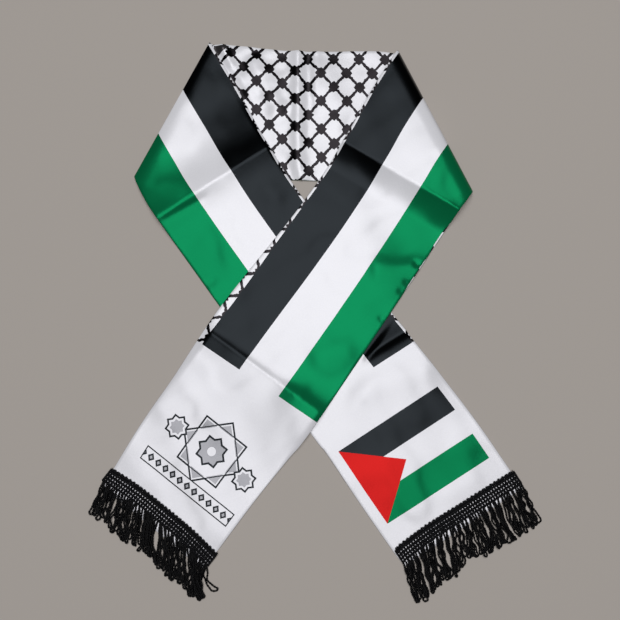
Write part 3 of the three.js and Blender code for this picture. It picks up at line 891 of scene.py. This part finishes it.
over_middle, over_share, over_black, over_green = tail_middle(OVER_TAIL_SECTIONS, over_lift)
over_along = tail_along(over_black, over_green, over_share, over_start,
                        scarf_length + HEM - run_lengths(over_green, False)[-1], 1)
over_tail = flat_tube("over_tail_cloth", over_middle, over_share, over_along)
over_tail.data.materials.append(satin)
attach(over_tail, "root")
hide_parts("over_tail")


# ---------------------------------------------------------------------------------------------
# Heading braids. The fringe is bought as a trim: black polyester yarns stand side by side and
# lengthwise chain stitches knit them into an open heading, whose holes show the white cloth
# beneath. It lies on each end of the scarf and is sewn down along its chains.
# ---------------------------------------------------------------------------------------------
RIB_PITCH = 3.0              # from one crosswise yarn to the next
RIB_RADIUS = 1.08
RIB_INSET = 0.8              # from the heading's ends to its first and last yarn
RIB_STEPS = 22
RIB_RISE = 0.75              # from the heading's floor to the middle of a crosswise yarn
RIB_UNEVEN = 0.12            # share by which that yarn's radius varies
SCALLOP_SWAY = 0.35          # how far the scalloped chain sways
HEADING_DEPTH = 15.0         # from the scalloped upper edge to the lowest chain
HEADING_FLOOR = 2 * HALF + 0.1
CHAIN_STEPS = 300
EDGE_STEPS = 400             # samples of the curve along a heading's upper edge
YARN_SIDES = 8

HEADING_CHAINS = table("name down radius swell pitch rise",
    ("scalloped edge", 1.5, 1.3, 0.26, 4.5, 0.1),
    ("second chain", 4.1, 1.45, 0.15, 3.0, 0.2),
    ("third chain", 8.0, 1.3, 0.25, 3.0, 0.3),
    ("fourth chain", 11.6, 1.2, 0.25, 3.0, 0.3),
    ("lowest chain", 15.0, 1.15, 0.25, 3.0, 0.3))
UNDER_HEADING = [(198.3, -157.7), (167.9, -176.1), (138.9, -193.8), (109.9, -211.5), (84.9, -229.4),
                 (78.6, -235.6)]
OVER_HEADING = [(-201.9, -155.4), (-172.7, -174.1), (-146.3, -194.5), (-120.3, -215.5), (-95.0, -239.2)]


def heading_edge(edge):
    """Smooth curve through the points of a heading's upper edge."""
    return through_points(edge, np.linspace(0, len(edge) - 1, EDGE_STEPS))


def heading_place(edge, share, down):
    """Plan points of a heading: share of the way along its upper edge, and down millimetres from
    it, square to the line between its ends."""
    upper = heading_edge(edge)
    run = run_lengths(upper, False)
    chord = upper[-1] - upper[0]
    onward = np.array([chord[1], -chord[0]]) / np.linalg.norm(chord)
    onward *= np.sign(onward @ upper[0])
    start = np.stack([np.interp(share, run / run[-1], upper[:, axis]) for axis in (0, 1)], axis=-1)
    return start + onward * np.asarray(down)[..., None]


def yarns(name, paths, radius, ply_run, groove=0.16, flat=1.0):
    """Many closed yarns at once. paths is (yarn, step, xyz) and radius (yarn, step). The ring at
    a step stands square to its path. Its radius is that of the yarn times 1 plus groove times
    the cosine of twice the angle, which turns once in ply_run millimetres, so that the yarn
    looks twisted from two plies. flat scales its height. UV is (turn round the yarn, run)."""
    count, steps = paths.shape[:2]
    run = np.concatenate([np.zeros((count, 1)), np.cumsum(np.linalg.norm(
        np.diff(paths, axis=1), axis=2), axis=1)], axis=1)
    tangent = np.gradient(paths, axis=1)
    side = np.stack([-tangent[..., 1], tangent[..., 0], 0 * tangent[..., 0]], axis=2)
    side /= np.linalg.norm(side, axis=2, keepdims=True)
    up = np.cross(tangent, side)
    up /= np.linalg.norm(up, axis=2, keepdims=True)
    turn = np.arange(YARN_SIDES) / YARN_SIDES
    angle = 2 * np.pi * turn
    lobes = 1 + groove * np.cos(2 * (angle - 2 * np.pi * run[..., None] / ply_run))
    reach = (radius[..., None] * lobes)[..., None]
    rings = (paths[:, :, None] + reach * (np.cos(angle)[:, None] * side[:, :, None]
                                          + flat * np.sin(angle)[:, None] * up[:, :, None]))
    first = np.arange(count * steps).reshape(count, steps)[:, :-1, None] * YARN_SIDES
    here = np.arange(YARN_SIDES)
    after = (here + 1) % YARN_SIDES
    walls = np.stack([first + here, first + after, first + after + YARN_SIDES,
                      first + here + YARN_SIDES], axis=3).reshape(-1, 4)
    cap = np.array([[0, 1, 2, 3], [0, 3, 4, 7], [4, 5, 6, 7]])
    yarn_start = (np.arange(count) * steps * YARN_SIDES)[:, None, None]
    yarn_end = yarn_start + (steps - 1) * YARN_SIDES
    quads = np.concatenate([walls, (yarn_start + cap[:, ::-1]).reshape(-1, 4),
                            (yarn_end + cap).reshape(-1, 4)])
    next_turn = turn + 1 / YARN_SIDES
    wall_turn = np.broadcast_to(np.stack([turn, next_turn, next_turn, turn], axis=1),
                                (count, steps - 1, YARN_SIDES, 4))
    wall_run = np.stack([run[:, :-1], run[:, :-1], run[:, 1:], run[:, 1:]], axis=2)[:, :, None]
    wall_run = np.broadcast_to(wall_run, wall_turn.shape)
    wall_uv = np.stack([wall_turn, wall_run * MM], axis=4).reshape(-1, 2)
    cap_uv = np.zeros((2 * count * cap.size, 2))
    return mesh_piece(name, rings.reshape(-1, 3) * MM, quads, np.concatenate([wall_uv, cap_uv]))


def heading_braid(name, edge):
    """Crosswise yarns and the bumpy chains that knit them together. A chain's radius and height
    swell as the cosine of its place along the heading, once in a pitch. The scalloped edge, of
    the longer pitch, also sways up and down; the other chains swell on the yarns."""
    width = run_lengths(heading_edge(edge), False)[-1]
    rib_share = np.linspace(RIB_INSET, width - RIB_INSET, int(width / RIB_PITCH)) / width
    down = np.linspace(HEADING_CHAINS[0]["down"], HEADING_DEPTH + 0.5, RIB_STEPS)
    share_grid, down_grid = np.meshgrid(rib_share, down, indexing="ij")
    rib_height = HEADING_FLOOR + RIB_RISE + 0 * down_grid
    ribs = np.dstack([heading_place(edge, share_grid, down_grid), rib_height])
    rng = np.random.default_rng(int(width * 10))
    uneven = rng.uniform(1 - RIB_UNEVEN, 1 + RIB_UNEVEN, (len(rib_share), 6))
    rib_radius = RIB_RADIUS * np.repeat(uneven, 4, axis=1)[:, :len(down)]

    share = np.linspace(0.004, 0.996, CHAIN_STEPS)
    chains, chain_radius = [], []
    for chain in HEADING_CHAINS:
        scalloped = chain["pitch"] > RIB_PITCH
        swell = np.cos(2 * np.pi * (share * width / chain["pitch"] + (0.0 if scalloped else 0.5)))
        sway = SCALLOP_SWAY * swell if scalloped else 0 * swell
        height = HEADING_FLOOR + chain["radius"] + chain["rise"] * (1 + swell)
        chains.append(np.column_stack([heading_place(edge, share, chain["down"] - sway), height]))
        chain_radius.append(chain["radius"] + chain["swell"] * swell)
    parts = [yarns(name, ribs, rib_radius, ply_run=4.0, flat=0.8),
             yarns(name + "_chains", np.stack(chains), np.stack(chain_radius), ply_run=5.2, flat=0.85)]
    return joined(name, parts)


def joined(name, parts):
    """One object from several meshes that already lie in place."""
    bpy.ops.object.select_all(action="DESELECT")
    for part in parts:
        part.select_set(True)
    bpy.context.view_layer.objects.active = parts[0]
    bpy.ops.object.join()
    parts[0].name = name
    return parts[0]


def twisted_yarn():
    """Surface of a soft two-ply polyester yarn: sine waves for the fine fibres that run askew
    round it, broken up by stretched noise for their fuzz. Inputs are the turn round the yarn and
    the run along it in millimetres. Puts out the bump height and a mask of the parts that catch
    the light."""
    group, (turn, run), result = new_group("twisted yarn", ["turn", "run"],
                                           {"height": "Float", "painted_highlight": "Float"})
    fibres_round, fibres_lean, fuzz_round, fuzz_lean, fuzz_run = 11.0, 2.2, 3.0, 0.7, 2.4
    fibre = ((turn * fibres_round + run * fibres_lean) * (2 * np.pi)).do("SINE") * 0.5 + 0.5
    vector = group.nodes.new("ShaderNodeCombineXYZ")
    group.links.new((turn * fuzz_round + run * fuzz_lean).socket, vector.inputs["X"])
    group.links.new((run * fuzz_run).socket, vector.inputs["Y"])
    fuzz = noise_field(group, vector.outputs[0], 1.6, 3.0, 0.6)
    group.links.new((fibre * 0.45 + fuzz).socket, result.inputs["height"])
    group.links.new((fibre * 0.5 + fuzz).rise(0.45, 1.1).socket, result.inputs["painted_highlight"])
    return group


def yarn_material(name, group, dark, light, roughness, gloss):
    """Black yarn with a painted highlight: the fibres that catch the light are a little lighter."""
    material, tree, shader = new_material(name, roughness, gloss)
    ply = use_group(tree, group, cloth_place(tree))
    colour = paint(tree, Field(tree, ply.outputs["painted_highlight"]), dark, light)
    tree.links.new(colour, shader.inputs["Base Color"])
    add_bump(tree, shader, Field(tree, ply.outputs["height"]), strength=0.5, distance=0.0002)
    return material


yarn_group = twisted_yarn()
# The lighter colour is the painted highlight on the fibres that catch the light.
heading_material = yarn_material("black heading yarn", yarn_group, (0.003, 0.003, 0.0035),
                                 (0.009, 0.009, 0.0105), 0.55, 0.06)
under_heading = heading_braid("under_tail_braid", UNDER_HEADING)
over_heading = heading_braid("over_tail_braid", OVER_HEADING)
for braid, node in ((under_heading, "under_tail_heading"), (over_heading, "over_tail_heading")):
    braid.data.materials.append(heading_material)
    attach(braid, "root")
    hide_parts(node)


# ---------------------------------------------------------------------------------------------
# Fringes. Below the heading each crosswise yarn hangs on as a closed loop, its two legs wound
# loosely round each other. The loops lie in a heap two or three deep, parted here and there,
# and open into small eyes at their ends.
# ---------------------------------------------------------------------------------------------
LOOPS = 60
LOOP_STEPS = 131
YARN_RADIUS = 0.86
PLY_GROOVE = 0.22            # swell of a loop's two plies, as a share of its radius
PLY_RUN = 5.6                # length of one full twist
HEAP_HEIGHTS = (0.95, 2.2, 3.3)
HEAP_SHARES = (0.4, 0.35, 0.25)
ROOT_RISE = 1.1              # from the heading's floor to a loop's middle where the loop starts
BEND_LENGTH = 2.0            # length of the round bend at a loop's tip
SIDE_LENGTH = 2.2            # length over which its two legs part there
EYE_LENGTH = 4.0             # length of the small eye between them
LEGS_AT_ROOT = 0.3           # a leg's distance from the loop's middle where it starts,
LEGS_GAIN = 0.56             # and what that gains on the first part of the way down

# Outline of the loops' tips by the share of the way along the heading, and a bow sideways.
TIP_COLUMNS = "share x y bow"
UNDER_TIPS = table(TIP_COLUMNS,
    (0.00, 223.5, -208.8), (0.06, 218.2, -213.9), (0.12, 208.6, -218.5), (0.20, 199.8, -226.4),
    (0.28, 187.4, -231.5), (0.34, 179.8, -235.1), (0.42, 168.3, -241.1), (0.47, 160.7, -243.4),
    (0.53, 150.5, -246.2), (0.57, 143.5, -253.6), (0.64, 139.0, -263.1), (0.70, 131.0, -263.7),
    (0.78, 121.5, -273.6), (0.85, 115.3, -278.2), (0.92, 108.6, -284.5), (1.00, 99.2, -286.3))
OVER_TIPS = table(TIP_COLUMNS,
    (0.00, -223.6, -200.2), (0.05, -218.4, -204.2), (0.10, -212.7, -206.8), (0.14, -207.4, -209.4),
    (0.18, -200.5, -218.9), (0.24, -192.0, -222.4), (0.30, -184.3, -230.9), (0.36, -174.5, -234.4),
    (0.42, -168.2, -239.1), (0.48, -161.0, -248.1), (0.55, -149.4, -258.4), (0.61, -141.4, -262.6),
    (0.68, -135.2, -266.6), (0.74, -129.3, -272.3), (0.80, -123.3, -279.7, 0.0),
    (0.88, -116.3, -282.6, -3.0), (0.95, -111.0, -283.1, -5.5), (1.00, -108.2, -281.0, -7.0))


def fringe_loops(edge, share, tip, bow, wave, opening, layer, turns, phase):
    """Middle lines of loops. The middle of a loop's two legs runs straight from the heading to
    its tip, plus bow times a half sine and a small sine wave sideways. The legs keep to its two
    sides, a leg's side turning with the run so that they wind round each other, part by opening
    near the tip, and meet there in a round bend. Each argument after edge holds a value a loop."""
    share, bow, wave, opening, layer, turns, phase = (
        np.asarray(v, float)[:, None] for v in (share, bow, wave, opening, layer, turns, phase))
    root = heading_place(edge, share, np.full(share.shape, HEADING_DEPTH))
    reach = np.asarray(tip)[:, None, :] - root
    length = np.linalg.norm(reach, axis=2)
    sideways = np.stack([-reach[..., 1], reach[..., 0]], axis=2) / length[..., None]
    travel = np.linspace(-1, 1, LOOP_STEPS)[None, :]
    bend = BEND_LENGTH / length
    floor = YARN_RADIUS * (1 + PLY_GROOVE) + 0.02
    down = 1 - (np.sqrt(travel**2 + bend**2) - bend) / (np.sqrt(1 + bend**2) - bend)
    from_tip = (1 - down) * length
    leg = np.tanh(travel * length / SIDE_LENGTH)
    loose = 0.45 * opening * np.sin(np.pi * down) ** 2 * (1 + np.sin(9 * down + 20 * phase))
    apart = (LEGS_AT_ROOT + LEGS_GAIN * smooth_rise(down, 0.05, 0.3)
             + opening * np.exp(-(from_tip / EYE_LENGTH) ** 2) + loose)
    wind = phase + 2 * np.pi * turns * smooth_rise(from_tip, 3.0, 60.0)
    ripple = np.sin(2 * np.pi * (1.3 * down + phase)) + 0.5 * np.sin(2 * np.pi * (3.1 * down + 7 * phase))
    offset = bow * np.sin(np.pi * down) + wave * ripple * down
    flatwise = offset + leg * apart * np.cos(wind)
    place = root + reach * down[..., None] + sideways * flatwise[..., None]
    settle = smooth_rise(down, 0.12, 0.5)
    height = (HEADING_FLOOR + ROOT_RISE) * (1 - settle) + layer * settle
    height = np.maximum(height + leg * apart * np.sin(wind), floor)
    return np.concatenate([place, height[..., None]], axis=2)


def fringe(name, edge, rows, seed, stray=None):
    """Loops side by side along a heading, each to its tip on the fringe's outline give or take a
    few millimetres, and a stray loop where one is given."""
    rng = np.random.default_rng(seed)
    share = (np.arange(LOOPS) + 0.5) / LOOPS
    known = [row["share"] for row in rows]
    tip = np.column_stack([np.interp(share, known, [row[axis] for row in rows]) for axis in "xy"])
    clump = np.interp(share, np.linspace(0, 1, 10), rng.normal(0, 0.8, 10))
    clump = clump + np.interp(share, known, [row.get("bow", 0.0) for row in rows])
    inner = np.clip(np.minimum(share, 1 - share) / 0.06, 0.15, 1)
    back = np.clip(np.abs(rng.normal(0, 2.2, LOOPS)), 0, 7) * inner
    towards = heading_place(edge, share, np.full(LOOPS, HEADING_DEPTH)) - tip
    towards /= np.linalg.norm(towards, axis=1)[:, None]
    tip = tip + towards * back[:, None] + rng.normal(0, 1.1, (LOOPS, 2)) * inner[:, None]
    uneven = np.random.default_rng(seed + 1).uniform(-0.42, 0.42, LOOPS) / LOOPS
    columns = dict(share=share + uneven, tip=tip, bow=clump + rng.normal(0, 1.5, LOOPS),
                   wave=rng.uniform(0.5, 2.4, LOOPS), opening=0.5 + 1.7 * rng.random(LOOPS) ** 2,
                   layer=rng.choice(HEAP_HEIGHTS, LOOPS, p=HEAP_SHARES),
                   turns=rng.integers(0, 5, LOOPS) * 0.5, phase=rng.normal(0, 0.35, LOOPS))
    if stray:
        for column, value in stray.items():
            columns[column] = np.concatenate([columns[column], [value]])
    paths = fringe_loops(edge, **columns)
    ends = np.minimum(np.arange(LOOP_STEPS), np.arange(LOOP_STEPS)[::-1])
    radius = YARN_RADIUS * (0.8 + 0.2 * smooth_rise(ends, 0, 8))
    return yarns(name, paths, np.repeat(radius[None, :], len(paths), axis=0), PLY_RUN, groove=PLY_GROOVE)


# The lighter colour is the painted highlight on the fibres that catch the light.
fringe_material = yarn_material("black fringe yarn", yarn_group, (0.0006, 0.0006, 0.0008),
                                (0.0035, 0.0033, 0.004), 0.38, 0.08)
under_fringe = fringe("under_tail_loops", UNDER_HEADING, UNDER_TIPS, 5)
over_fringe = fringe("over_tail_loops", OVER_HEADING, OVER_TIPS, 8, stray=dict(
    share=0.985, tip=(-96.8, -275.0), bow=-5.5, wave=0.2, opening=3.1, layer=1.1, turns=0.0, phase=0.0))
for loops, node in ((under_fringe, "under_tail_fringe"), (over_fringe, "over_tail_fringe")):
    loops.data.materials.append(fringe_material)
    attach(loops, "root")
    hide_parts(node)


# ---------------------------------------------------------------------------------------------
# Stage: a plain pale floor, one wide soft light high above, a faint even light from the room,
# and the camera that looks almost straight down.
# ---------------------------------------------------------------------------------------------
FLOOR_REACH = 3.0            # metres from the floor's middle to its sides
FLOOR_COLOUR = (0.35, 0.32, 0.295, 1)
ROOM_COLOUR = (0.93, 0.96, 1.0, 1)
floor_corners = FLOOR_REACH * np.array([(-1, -1, 0), (1, -1, 0), (1, 1, 0), (-1, 1, 0)])
floor = mesh_piece("floor", floor_corners, np.array([[0, 1, 2, 3]]))
floor_material, _, floor_shader = new_material("pale floor", 0.85, 0.1)
floor_shader.inputs["Base Color"].default_value = FLOOR_COLOUR
floor.data.materials.append(floor_material)

light = bpy.data.lights.new("overhead light", "AREA")
light.shape = "RECTANGLE"
light.size, light.size_y = 2.5, 3.5
light.energy = 175.0
lamp = bpy.data.objects.new("overhead light", light)
bpy.context.collection.objects.link(lamp)
lamp.location = (0.0, 0.38, 4.0)
world = bpy.data.worlds.new("room")
world.use_nodes = True
world.node_tree.nodes["Background"].inputs["Color"].default_value = ROOM_COLOUR
world.node_tree.nodes["Background"].inputs["Strength"].default_value = 0.06
bpy.context.scene.world = world

camera_data = bpy.data.cameras.new("camera")
camera_data.sensor_width = 36.0
camera_data.lens = 46.4516
camera = bpy.data.objects.new("camera", camera_data)
bpy.context.collection.objects.link(camera)
camera.location = (-0.0043, -0.0826, 0.8124)
camera.rotation_euler = (np.radians(6.0), 0.0, 0.0)
bpy.context.scene.camera = camera
bpy.context.scene.view_settings.view_transform = "Standard"
